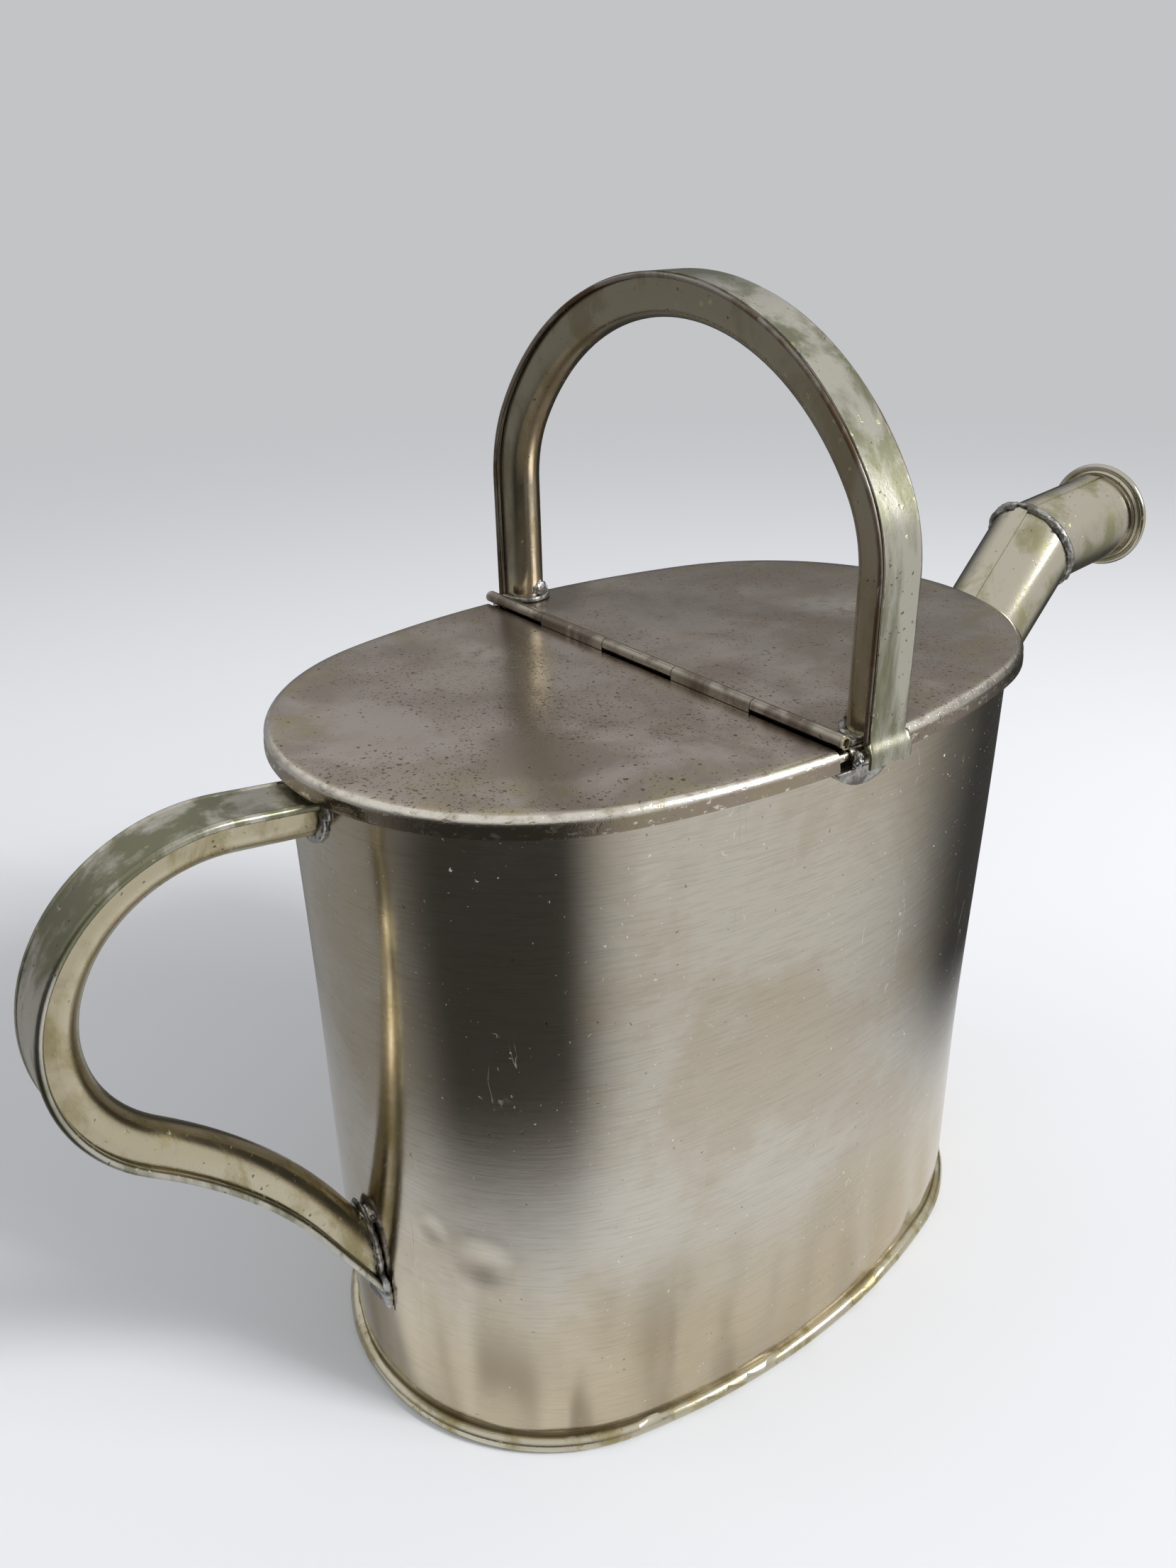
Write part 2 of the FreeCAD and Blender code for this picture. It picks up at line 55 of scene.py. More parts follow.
# %% [markdown]
# ## The camera
# The can is seen from its rear left, from a little above, and quite near, so the near end looks
# larger than the far one. A camera is placed by where it stands and where it looks: a turn round
# the can, a rise above the floor and a slight tilt of the horizon.

# %% Camera
CAMERA_PLACE = Vector((-0.2544, -0.2904, 0.38914))
CAMERA_TURN = math.radians(232.94)
CAMERA_RISE = math.radians(26.16)
CAMERA_TILT = math.radians(-1.11)
CAMERA_LENS = 27.65

back = Vector((math.cos(CAMERA_RISE) * math.cos(CAMERA_TURN),
               math.cos(CAMERA_RISE) * math.sin(CAMERA_TURN),
               math.sin(CAMERA_RISE)))
camera_data = bpy.data.cameras.new("camera")
camera_data.sensor_width = 36
camera_data.lens = CAMERA_LENS
camera_data.clip_start = 0.01
camera = bpy.data.objects.new("camera", camera_data)
bpy.context.scene.collection.objects.link(camera)
camera.rotation_mode = "QUATERNION"
camera.rotation_quaternion = (-back).to_track_quat("-Z", "Y") @ Quaternion((0, 0, 1), CAMERA_TILT)
camera.location = CAMERA_PLACE
bpy.context.scene.camera = camera
bpy.context.scene.view_settings.view_transform = "Standard"
print("camera", round(camera.location.length, 3), "m from the foot's middle")

# %% [markdown]
# ## Writing shader nodes by hand
# Every finish below is a small web of nodes. A few short helpers keep that readable: they add a
# node and set its sockets, do arithmetic, fade a number smoothly between limits, mix colours and
# make noise.

# %% Node helpers
def put(tree, kind, sockets=None, **settings):
    """Adds a node. A socket's value is a number, a colour, or the output that feeds it."""
    node = tree.nodes.new(kind)
    for name, value in settings.items():
        setattr(node, name, value)
    for name, value in (sockets or {}).items():
        if isinstance(value, bpy.types.NodeSocket):
            tree.links.new(value, node.inputs[name])
        else:
            node.inputs[name].default_value = value
    return node


def maths(tree, operation, *values):
    return put(tree, "ShaderNodeMath", dict(enumerate(values)), operation=operation).outputs[0]


def fade(tree, value, low, high):
    """0 below low, 1 above high, smooth in between (low may be the larger)."""
    sockets = {"Value": value, "From Min": low, "From Max": high}
    kind = dict(interpolation_type="SMOOTHSTEP")
    return put(tree, "ShaderNodeMapRange", sockets, **kind).outputs["Result"]


def tint(tree, factor, first, second):
    """Mixes two colours."""
    return put(tree, "ShaderNodeMix", {0: factor, 6: first, 7: second}, data_type="RGBA").outputs[2]


def stretch(tree, vector, scale):
    node = put(tree, "ShaderNodeVectorMath", {0: vector, 1: scale}, operation="MULTIPLY")
    return node.outputs[0]


def speckle(tree, vector, scale, detail=3.0, roughness=0.55, distortion=0.0):
    sockets = {"Vector": vector, "Scale": scale, "Detail": detail,
               "Roughness": roughness, "Distortion": distortion}
    return put(tree, "ShaderNodeTexNoise", sockets).outputs["Fac"]


def here(tree):
    """Where a point of the can is, in metres."""
    return put(tree, "ShaderNodeTexCoord").outputs["Object"]


print("node helpers ready")

# %% [markdown]
# ## The studio
# Polished metal has hardly any colour of its own: it shows the room. So a plain soft studio is
# made first, from one formula. One side of it is bright, like a large window, the opposite side
# is a weaker fill, the rest is dim and the ceiling is pale. The camera and dull surfaces see an
# even pale background instead. The floor is plain and pale. In reflections it fades out a short
# way from the can, as the top of a small round table would.

# %% World
PALE = (0.80, 0.81, 0.83, 1.0)
PALE_LIGHT = 0.68
BRIGHT_WAY = (0.5, -0.866, 0.0)
DIM, BRIGHT, FILL, CEILING = 0.05, 0.60, 0.25, 0.70


def build_world():
    world = bpy.data.worlds.new("studio")
    bpy.context.scene.world = world
    world.use_nodes = True
    tree = world.node_tree
    tree.nodes.clear()
    looking = put(tree, "ShaderNodeTexCoord").outputs["Generated"]
    level = put(tree, "ShaderNodeVectorMath", {0: stretch(tree, looking, (1, 1, 0))}, operation="NORMALIZE")
    toward = put(tree, "ShaderNodeVectorMath", {0: level.outputs[0], 1: BRIGHT_WAY},
                 operation="DOT_PRODUCT").outputs["Value"]
    room = maths(tree, "MULTIPLY_ADD", fade(tree, toward, 0.55, 1.0), BRIGHT, DIM)
    room = maths(tree, "MULTIPLY_ADD", fade(tree, toward, -0.3, -1.0), FILL, room)
    height = put(tree, "ShaderNodeSeparateXYZ", {0: looking}).outputs["Z"]
    above = fade(tree, height, 0.1, 0.7)
    room = maths(tree, "MULTIPLY_ADD", above, maths(tree, "SUBTRACT", CEILING, room), room)
    path = put(tree, "ShaderNodeLightPath").outputs
    plain = maths(tree, "MAXIMUM", path["Is Camera Ray"], path["Is Diffuse Ray"])
    strength = maths(tree, "MULTIPLY_ADD", plain, maths(tree, "SUBTRACT", PALE_LIGHT, room), room)
    seen = tint(tree, plain, (1.0, 0.99, 0.97, 1.0), PALE)
    shown = put(tree, "ShaderNodeBackground", {"Color": seen, "Strength": strength})
    put(tree, "ShaderNodeOutputWorld", {"Surface": shown.outputs[0]})
    world.cycles.sampling_method = "NONE"
    return world


print("world:", build_world().name)

# %% Floor
FLOOR_HALF = 60.0


def build_floor():
    mesh = bpy.data.meshes.new("floor")
    corners = [(x * FLOOR_HALF, y * FLOOR_HALF, 0) for x, y in ((-1, -1), (1, -1), (1, 1), (-1, 1))]
    mesh.from_pydata(corners, [], [(0, 1, 2, 3)])
    floor = bpy.data.objects.new("floor", mesh)
    bpy.context.scene.collection.objects.link(floor)
    floor.location.z = -0.0002
    material = bpy.data.materials.new("pale_floor")
    material.use_nodes = True
    tree = material.node_tree
    tree.nodes.clear()
    away = put(tree, "ShaderNodeVectorMath", {0: here(tree)}, operation="LENGTH").outputs["Value"]
    path = put(tree, "ShaderNodeLightPath").outputs
    pale = put(tree, "ShaderNodeBsdfDiffuse", {"Color": (0.78, 0.79, 0.81, 1), "Roughness": 0.6})
    clear = put(tree, "ShaderNodeBsdfTransparent")
    glow = put(tree, "ShaderNodeEmission", {"Color": PALE, "Strength": PALE_LIGHT})
    far = maths(tree, "MULTIPLY", fade(tree, away, 0.45, 2.4), path["Is Camera Ray"])
    shown = put(tree, "ShaderNodeMixShader", {0: far, 1: pale.outputs[0], 2: glow.outputs[0]})
    beyond = maths(tree, "MULTIPLY", fade(tree, away, 0.15, 0.30), path["Is Glossy Ray"])
    shown = put(tree, "ShaderNodeMixShader", {0: beyond, 1: shown.outputs[0], 2: clear.outputs[0]})
    put(tree, "ShaderNodeOutputMaterial", {"Surface": shown.outputs[0]})
    mesh.materials.append(material)
    return floor


print("floor:", build_floor().name)

# %% Lamps
def soft_lamp(name, turn, rise, distance, width, power, glossy=True):
    """A square soft box that looks at the can's middle from this direction."""
    data = bpy.data.lights.new(name, "AREA")
    data.energy = power
    data.size = width
    lamp = bpy.data.objects.new(name, data)
    bpy.context.scene.collection.objects.link(lamp)
    t, r = math.radians(turn), math.radians(rise)
    way = Vector((math.cos(r) * math.cos(t), math.cos(r) * math.sin(t), math.sin(r)))
    lamp.location = Vector((0, 0, 0.12)) + way * distance
    lamp.rotation_euler = (-way).to_track_quat("-Z", "Y").to_euler()
    lamp.visible_glossy = glossy
    return lamp


soft_lamp("window_light", -58, 34, 1.6, 0.7, 11, glossy=True)
soft_lamp("key_light", -62, 38, 1.6, 0.3, 13, glossy=False)
soft_lamp("side_light", 150, 40, 1.6, 0.8, 3, glossy=False)
print("lamps: 3")

# %% [markdown]
# ## Finishes that several metals share
# Old plate wears in a few ways that repeat all over the can: fine scratches, small dark pits,
# clouds of tarnish, specks of dust and bright rubbed edges. Each is a node group, built once and
# placed in a metal with its own values. A group only puts out masks, colours and heights.

# %% A helper that makes a group
def effect(name, inputs, outputs):
    """An empty shader node group with these number or colour sockets."""
    group = bpy.data.node_groups.new(name, "ShaderNodeTree")
    for label, value in inputs.items():
        kind = {float: "NodeSocketFloat", tuple: "NodeSocketColor"}.get(type(value), "NodeSocketVector")
        socket = group.interface.new_socket(label, in_out="INPUT", socket_type=kind)
        if value is not None:
            socket.default_value = value
    for label, kind in outputs.items():
        group.interface.new_socket(label, in_out="OUTPUT", socket_type=kind)
    return group, group.nodes.new("NodeGroupInput").outputs, group.nodes.new("NodeGroupOutput").inputs


def use(tree, group, values):
    """Places a group in a metal."""
    node = tree.nodes.new("ShaderNodeGroup")
    node.node_tree = group
    for name, value in values.items():
        if isinstance(value, bpy.types.NodeSocket):
            tree.links.new(value, node.inputs[name])
        else:
            node.inputs[name].default_value = value
    return node.outputs


NUMBER = "NodeSocketFloat"
COLOUR = "NodeSocketColor"


# %% Brushed scratches
def brushed_scratches():
    """Hair lines left by wiping: noise drawn out along one direction."""
    group, given, out = effect("brushed_scratches", {"Place": None, "Fineness": 1.0}, {"Height": NUMBER})
    fine = speckle(group, given["Place"], 900.0, 4.0, 0.7)
    broad = speckle(group, given["Place"], 260.0, 2.0, 0.5)
    both = maths(group, "MULTIPLY_ADD", broad, 0.3, maths(group, "MULTIPLY", fine, given["Fineness"]))
    group.links.new(both, out["Height"])
    return group


# %% Scattered spots
def scattered_spots():
    """Small uneven dots, thicker in some patches: pits where the plate has gone, dust or stains."""
    group, given, out = effect("scattered_spots",
                               {"Place": None, "Scale": 400.0, "Amount": 0.5, "Size": 0.3, "Patch": 40.0},
                               {"Mask": NUMBER})
    wobble = put(group, "ShaderNodeTexNoise", {"Vector": given["Place"], "Scale": 800.0, "Detail": 2.0})
    centred = put(group, "ShaderNodeVectorMath", {0: wobble.outputs["Color"], 1: (0.5, 0.5, 0.5)},
                  operation="SUBTRACT").outputs[0]
    moved = put(group, "ShaderNodeVectorMath", {0: centred, 1: (0.0022, 0.0022, 0.0022), 2: given["Place"]},
                operation="MULTIPLY_ADD").outputs[0]
    cells = put(group, "ShaderNodeTexVoronoi", {"Vector": moved, "Scale": given["Scale"]}).outputs
    chance = put(group, "ShaderNodeSeparateXYZ", {0: cells["Color"]}).outputs
    patch = speckle(group, given["Place"], given["Patch"], 3.0, 0.6)
    patch = fade(group, patch, 0.38, 0.62)
    limit = maths(group, "MULTIPLY", given["Amount"], maths(group, "MULTIPLY_ADD", patch, 0.9, 0.1))
    chosen = maths(group, "LESS_THAN", chance["X"], limit)
    reach = maths(group, "MULTIPLY", given["Size"], maths(group, "MULTIPLY_ADD", chance["Y"], 0.8, 0.2))
    dot = fade(group, cells["Distance"], reach, maths(group, "MULTIPLY", reach, 0.55))
    group.links.new(maths(group, "MULTIPLY", dot, chosen), out["Mask"])
    return group


# %% Tarnish clouds
def tarnish_clouds():
    """Soft clouds of a second colour over the first."""
    group, given, out = effect("tarnish_clouds",
                               {"Place": None, "Scale": 20.0, "Amount": 0.5,
                                "Clean": (0.6, 0.57, 0.5, 1.0), "Tarnished": (0.4, 0.35, 0.25, 1.0)},
                               {"Color": COLOUR, "Mask": NUMBER})
    cloud = speckle(group, given["Place"], given["Scale"], 6.0, 0.62, 0.3)
    centre = maths(group, "SUBTRACT", 0.68, maths(group, "MULTIPLY", given["Amount"], 0.34))
    mask = fade(group, maths(group, "SUBTRACT", cloud, centre), -0.08, 0.10)
    group.links.new(tint(group, mask, given["Clean"], given["Tarnished"]), out["Color"])
    group.links.new(mask, out["Mask"])
    return group


# %% Stray marks
def stray_marks():
    """Bright nicks and short scratches: thin cells of a noise, only in some patches."""
    group, given, out = effect("stray_marks", {"Place": None, "Scale": 60.0, "Amount": 0.5},
                               {"Mask": NUMBER})
    line = speckle(group, given["Place"], given["Scale"], 2.0, 0.5, 1.2)
    thin = maths(group, "ABSOLUTE", maths(group, "SUBTRACT", line, 0.5))
    patch = speckle(group, given["Place"], maths(group, "MULTIPLY", given["Scale"], 0.55), 3.0, 0.7)
    limit = maths(group, "SUBTRACT", 0.78, maths(group, "MULTIPLY", given["Amount"], 0.2))
    mask = maths(group, "MULTIPLY", fade(group, thin, 0.008, 0.002),
                 fade(group, maths(group, "SUBTRACT", patch, limit), 0.0, 0.05))
    group.links.new(mask, out["Mask"])
    return group


# %% Rubbed edges
def rubbed_edges():
    """Where an edge has been handled: the rounded-off normal differs from the true one."""
    group, given, out = effect("rubbed_edges", {"Width": 0.001, "Ragged": 0.5}, {"Mask": NUMBER})
    soft = put(group, "ShaderNodeBevel", {"Radius": given["Width"]}, samples=4).outputs[0]
    true = put(group, "ShaderNodeNewGeometry").outputs["Normal"]
    dot = put(group, "ShaderNodeVectorMath", {0: soft, 1: true}, operation="DOT_PRODUCT").outputs["Value"]
    rough = speckle(group, here(group), 300.0, 3.0, 0.6)
    edge = fade(group, dot, 0.985, 0.85)
    keep = fade(group, rough, maths(group, "MULTIPLY", given["Ragged"], 0.9), 0.2)
    group.links.new(maths(group, "MULTIPLY", edge, keep), out["Mask"])
    return group


def spots(tree, place, scale, amount, size, patch):
    values = {"Place": place, "Scale": scale, "Amount": amount, "Size": size, "Patch": patch}
    return use(tree, SPOTS, values)["Mask"]


def stray(tree, place, scale, amount):
    return use(tree, MARKS, {"Place": place, "Scale": scale, "Amount": amount})["Mask"]


SCRATCHES = brushed_scratches()
SPOTS = scattered_spots()
CLOUDS = tarnish_clouds()
MARKS = stray_marks()
EDGES = rubbed_edges()
print("effects:", [g.name for g in bpy.data.node_groups])

# %% [markdown]
# ## The metals
# Each part of the can has aged in its own way, so each gets its own metal. All of them are one
# Principled shader that is fully metallic. The nodes only change its colour, its roughness and
# the small relief that breaks up reflections.

# %% A blank metal
def metal(name):
    """A material with an empty metallic shader, its node tree and that shader."""
    material = bpy.data.materials.new(name)
    material.use_nodes = True
    tree = material.node_tree
    tree.nodes.clear()
    shader = put(tree, "ShaderNodeBsdfPrincipled", {"Metallic": 1.0})
    put(tree, "ShaderNodeOutputMaterial", {"Surface": shader.outputs[0]})
    return material, tree, shader


def finish_metal(tree, shader, colour, roughness, height, depth):
    """Joins colour, roughness and a relief of this depth to the shader."""
    tree.links.new(colour, shader.inputs["Base Color"])
    tree.links.new(roughness, shader.inputs["Roughness"])
    bump = put(tree, "ShaderNodeBump", {"Height": height, "Strength": 1.0, "Distance": depth})
    tree.links.new(bump.outputs[0], shader.inputs["Normal"])


# %% The wall's metal
def wall_metal():
    """Nickel plate, wiped round and round for years: hair lines level with the floor."""
    material, tree, shader = metal("wall_plate")
    place = here(tree)
    height = put(tree, "ShaderNodeSeparateXYZ", {0: place}).outputs["Z"]
    drawn = stretch(tree, place, (0.05, 0.05, 1.0))
    scratch = use(tree, SCRATCHES, {"Place": drawn, "Fineness": 1.0})["Height"]
    cloud = use(tree, CLOUDS, {"Place": place, "Scale": 14.0, "Amount": 0.5,
                               "Clean": (0.68, 0.64, 0.56, 1), "Tarnished": (0.60, 0.535, 0.43, 1)})
    low = maths(tree, "MULTIPLY", fade(tree, height, 0.10, 0.02), 0.75)
    colour = tint(tree, low, cloud["Color"], (0.63, 0.525, 0.35, 1))
    # Painted reflection: dark vertical streaks near the foot, stronger behind, stand in for shaded floor seen
    # in the wall. They are not stains of the plate.
    painted_reflection_streaks = speckle(tree, stretch(tree, place, (1.0, 1.0, 0.20)), 56.0, 1.0, 0.4, 0.3)
    painted_reflection_streaks = maths(tree, "MULTIPLY", fade(tree, painted_reflection_streaks, 0.36, 0.70), fade(tree, height, 0.095, 0.030))
    behind = fade(tree, put(tree, "ShaderNodeSeparateXYZ", {0: place}).outputs["X"], -0.010, -0.065)
    painted_reflection_streaks = maths(tree, "MULTIPLY", painted_reflection_streaks, maths(tree, "MULTIPLY_ADD", behind, 0.50, 0.26))
    colour = tint(tree, painted_reflection_streaks, colour, (0.26, 0.21, 0.135, 1))
    pits = spots(tree, place, 420.0, 0.22, 0.22, 30.0)
    colour = tint(tree, maths(tree, "MULTIPLY", pits, 0.7), colour, (0.14, 0.115, 0.08, 1))
    grain = maths(tree, "MULTIPLY", fade(tree, speckle(tree, drawn, 1500.0, 3.0, 0.7), 0.46, 0.66), 0.26)
    colour = tint(tree, grain, colour, (0.36, 0.32, 0.25, 1))
    groove = maths(tree, "MULTIPLY", fade(tree, height, 0.0085, 0.0066), 0.75)
    colour = tint(tree, groove, colour, (0.10, 0.08, 0.05, 1))
    grit = spots(tree, place, 230.0, 0.30, 0.12, 24.0)
    dust = spots(tree, place, 430.0, 0.75, 0.16, 36.0)
    dust = maths(tree, "MAXIMUM", grit, maths(tree, "MULTIPLY", dust, 0.6))
    nicks = stray(tree, stretch(tree, place, (1.0, 1.0, 0.16)), 120.0, 0.80)
    curls = stray(tree, place, 80.0, 0.50)
    lines = maths(tree, "MAXIMUM", nicks, curls)
    bright = maths(tree, "MAXIMUM", dust, maths(tree, "MULTIPLY", lines, 0.38))
    colour = tint(tree, bright, colour, (0.80, 0.77, 0.68, 1))
    metallic = maths(tree, "SUBTRACT", 1.0, maths(tree, "MULTIPLY", bright, 0.65))
    tree.links.new(metallic, shader.inputs["Metallic"])
    rough = maths(tree, "MULTIPLY_ADD", cloud["Mask"], 0.05, 0.115)
    rough = maths(tree, "MULTIPLY_ADD", maths(tree, "MAXIMUM", bright, groove), 0.3, rough)
    relief = maths(tree, "MULTIPLY_ADD", maths(tree, "MAXIMUM", pits, lines), -1.0, scratch)
    finish_metal(tree, shader, colour, rough, relief, 0.000018)
    return material


# %% The covers' metal
def cover_metal():
    """Satin plate, pitted all over, with yellow stains towards the rim, chips on its edge, a painted
    highlight along the shoulder and painted shade on the skirt.
    """
    material, tree, shader = metal("cover_plate")
    place = here(tree)
    axis = put(tree, "ShaderNodeSeparateXYZ", {0: place}).outputs
    cloud = use(tree, CLOUDS, {"Place": place, "Scale": 22.0, "Amount": 0.5,
                               "Clean": (0.63, 0.56, 0.51, 1), "Tarnished": (0.43, 0.37, 0.315, 1)})
    oval = put(tree, "ShaderNodeVectorMath", {0: stretch(tree, place, (0.655, 1.0, 0.0))}, operation="LENGTH")
    rim = fade(tree, oval.outputs["Value"], 0.070, 0.091)
    yellow = use(tree, CLOUDS, {"Place": place, "Scale": 60.0, "Amount": 0.42})["Mask"]
    stain = maths(tree, "MULTIPLY", yellow, maths(tree, "MULTIPLY_ADD", rim, 0.75, 0.12))
    colour = tint(tree, stain, cloud["Color"], (0.50, 0.44, 0.28, 1))
    # Darker round each foot of the strap, with a ragged edge.
    for foot_side in (-1, 1):
        from_foot = put(tree, "ShaderNodeVectorMath", {0: place, 1: (0.0016, foot_side * 0.088, 0.248)},
                        operation="DISTANCE").outputs["Value"]
        ragged = maths(tree, "MULTIPLY_ADD", speckle(tree, place, 120.0, 3.0, 0.6), 0.016, from_foot)
        darker_round_foot = maths(tree, "MULTIPLY", fade(tree, ragged, 0.040, 0.025), 0.65)
        colour = tint(tree, darker_round_foot, colour, (0.20, 0.17, 0.14, 1))
    coarse = spots(tree, place, 400.0, 0.95, 0.32, 26.0)
    fine = spots(tree, place, 850.0, 1.20, 0.46, 26.0)
    pits = maths(tree, "MAXIMUM", coarse, maths(tree, "MULTIPLY", fine, 0.8))
    dull = maths(tree, "MULTIPLY", fade(tree, speckle(tree, place, 26.0, 3.0, 0.6), 0.46, 0.64), 0.45)
    colour = tint(tree, dull, colour, (0.42, 0.345, 0.275, 1))
    edge = fade(tree, axis["Z"], 0.2474, 0.2462)
    pits = maths(tree, "MULTIPLY", pits, maths(tree, "MULTIPLY_ADD", edge, -0.7, 1.0))
    colour = tint(tree, pits, colour, (0.19, 0.145, 0.105, 1))
    chips = speckle(tree, stretch(tree, place, (1.0, 1.0, 2.0)), 190.0, 4.0, 0.65)
    grime = maths(tree, "MULTIPLY", edge, fade(tree, chips, 0.56, 0.66))
    colour = tint(tree, maths(tree, "MULTIPLY", grime, 0.38), colour, (0.20, 0.15, 0.10, 1))
    # Painted shade: the skirt's colour is darkened all round, standing in for the dark room its upright face
    # reflects.
    skirt = fade(tree, axis["Z"], 0.2462, 0.2448)
    colour = tint(tree, maths(tree, "MULTIPLY", skirt, 0.7), colour, (0.36, 0.30, 0.23, 1))
    # Bare chips on the edge below the shoulder are worn metal. The pale band round the rolled shoulder,
    # broken only where the chip noise is high, is a painted highlight.
    bare_chips_and_highlight = maths(tree, "MULTIPLY", edge, fade(tree, chips, 0.43, 0.35))
    shoulder = maths(tree, "MULTIPLY", fade(tree, axis["Z"], 0.24795, 0.2476),
                     fade(tree, axis["Z"], 0.2452, 0.2462))
    bare_chips_and_highlight = maths(tree, "MAXIMUM", bare_chips_and_highlight, maths(tree, "MULTIPLY", shoulder, fade(tree, chips, 0.74, 0.44)))
    colour = tint(tree, bare_chips_and_highlight, colour, (0.86, 0.82, 0.74, 1))
    rough = maths(tree, "MULTIPLY_ADD", cloud["Mask"], 0.06, 0.22)
    rough = maths(tree, "MULTIPLY_ADD", edge, -0.08, rough)
    rough = maths(tree, "MULTIPLY_ADD", maths(tree, "MAXIMUM", pits, grime), 0.14, rough)
    grain = speckle(tree, place, 1500.0, 2.0, 0.6)
    relief = maths(tree, "MULTIPLY_ADD", maths(tree, "MAXIMUM", pits, grime), -1.5, grain)
    finish_metal(tree, shader, colour, rough, relief, 0.00003)
    return material


# %% The foot, straps, channels and spout
GREEN_BLOOM = (0.50, 0.50, 0.27, 1)


def worn_metal(name, clean, tarnished, amount, rough, pitting, edge, bloom=GREEN_BLOOM,
               streak=0.55, painted_upper_shade=0.0):
    """Plate with clouds of tarnish, greenish bloom, dark pits and bright rubbed edges, and painted shade high
    up, above the lid, when asked for.
    """
    material, tree, shader = metal(name)
    place = here(tree)
    cloud = use(tree, CLOUDS, {"Place": stretch(tree, place, (1.0, 1.0, streak)), "Scale": 62.0,
                               "Amount": amount, "Clean": clean, "Tarnished": tarnished})
    flecks = spots(tree, place, 330.0, pitting, 0.34, 45.0)
    # Painted shade: above the lid's height the colour darkens by this share, standing in for the dark room
    # that faces there reflect.
    above = fade(tree, put(tree, "ShaderNodeSeparateXYZ", {0: place}).outputs["Z"], 0.250, 0.262)
    colour = tint(tree, maths(tree, "MULTIPLY", above, painted_upper_shade), cloud["Color"], (0.20, 0.185, 0.15, 1))
    colour = tint(tree, maths(tree, "MULTIPLY", flecks, 0.8), colour, bloom)
    pits = spots(tree, place, 520.0, pitting, 0.30, 60.0)
    colour = tint(tree, maths(tree, "MULTIPLY", pits, 0.75), colour, (0.10, 0.085, 0.06, 1))
    marks = stray(tree, place, 110.0, 0.6)
    worn = maths(tree, "MULTIPLY", marks, 0.8)
    if edge:
        worn = maths(tree, "MAXIMUM", worn, use(tree, EDGES, {"Width": 0.0009, "Ragged": 0.55})["Mask"])
    colour = tint(tree, worn, colour, (0.86, 0.84, 0.78, 1))
    roughness = maths(tree, "MULTIPLY_ADD", cloud["Mask"], 0.12, rough)
    roughness = maths(tree, "MULTIPLY_ADD", maths(tree, "MAXIMUM", pits, flecks), 0.2, roughness)
    grain = speckle(tree, place, 900.0, 3.0, 0.6)
    relief = maths(tree, "MULTIPLY_ADD", maths(tree, "SUBTRACT", flecks, pits), 1.2, grain)
    finish_metal(tree, shader, colour, roughness, relief, 0.00003)
    return material


# %% Solder and wire
def solder_metal():
    """Tin-lead solder: dull, lumpy, with bright spots where it froze smooth."""
    material, tree, shader = metal("old_solder")
    place = here(tree)
    cloud = use(tree, CLOUDS, {"Place": place, "Scale": 160.0, "Amount": 0.55,
                               "Clean": (0.54, 0.54, 0.53, 1), "Tarnished": (0.22, 0.21, 0.195, 1)})
    rough = maths(tree, "MULTIPLY_ADD", cloud["Mask"], 0.25, 0.28)
    height = maths(tree, "MULTIPLY_ADD", speckle(tree, place, 420.0, 4.0, 0.6), 1.0, cloud["Mask"])
    finish_metal(tree, shader, cloud["Color"], rough, height, 0.00007)
    return material


METALS = {
    "wall_metal": wall_metal(),
    "cover_metal": cover_metal(),
    "foot_metal": worn_metal("foot_plate", (0.64, 0.60, 0.47, 1), (0.42, 0.36, 0.20, 1),
                             0.45, 0.20, 0.30, False),
    "strap_metal": worn_metal("strap_plate", (0.62, 0.60, 0.52, 1), (0.25, 0.25, 0.165, 1),
                              0.56, 0.21, 0.46, True, streak=0.22),
    # The channels get painted shade above the lid.
    "channel_metal": worn_metal("channel_plate", (0.61, 0.55, 0.40, 1), (0.42, 0.36, 0.20, 1),
                                0.45, 0.20, 0.35, False, painted_upper_shade=0.60),
    "spout_metal": worn_metal("spout_plate", (0.62, 0.585, 0.48, 1), (0.40, 0.38, 0.23, 1),
                              0.40, 0.18, 0.22, False),
    "hinge_metal": worn_metal("hinge_plate", (0.46, 0.42, 0.36, 1), (0.22, 0.185, 0.15, 1),
                              0.50, 0.27, 0.3, True, (0.20, 0.14, 0.08, 1)),
    "iron_wire": worn_metal("iron_wire", (0.32, 0.29, 0.26, 1), (0.16, 0.11, 0.07, 1),
                            0.5, 0.4, 0.5, False, (0.24, 0.12, 0.05, 1)),
    "solder": solder_metal(),
}
for row in frame["record"]["subparts"]:
    mesh = NODES[row["node"]].data
    mesh.materials.clear()
    mesh.materials.append(METALS[row["material_slot"]])
print("metals:", len(METALS))


# %% [markdown]
# ## Making a piece
# Every piece that is made here stands in for a part of the frame, or sits on one. It rides on the
# can, or on the lid if it has to swing with it, and it takes the metal of its slot.

# %% Piece helpers
def add_piece(name, mesh, slot_name, replaced=(), crease=35.0, body="can"):
    """A new piece on a body from a mesh: smooth, except along edges sharper than the crease."""
    mesh.shade_smooth()
    mesh.set_sharp_from_angle(angle=math.radians(crease))
    mesh.materials.clear()
    mesh.materials.append(METALS[slot_name])
    piece = bpy.data.objects.new(name, mesh)
    bpy.context.scene.collection.objects.link(piece)
    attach(piece, body)
    if replaced:
        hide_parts(*replaced)
    return piece


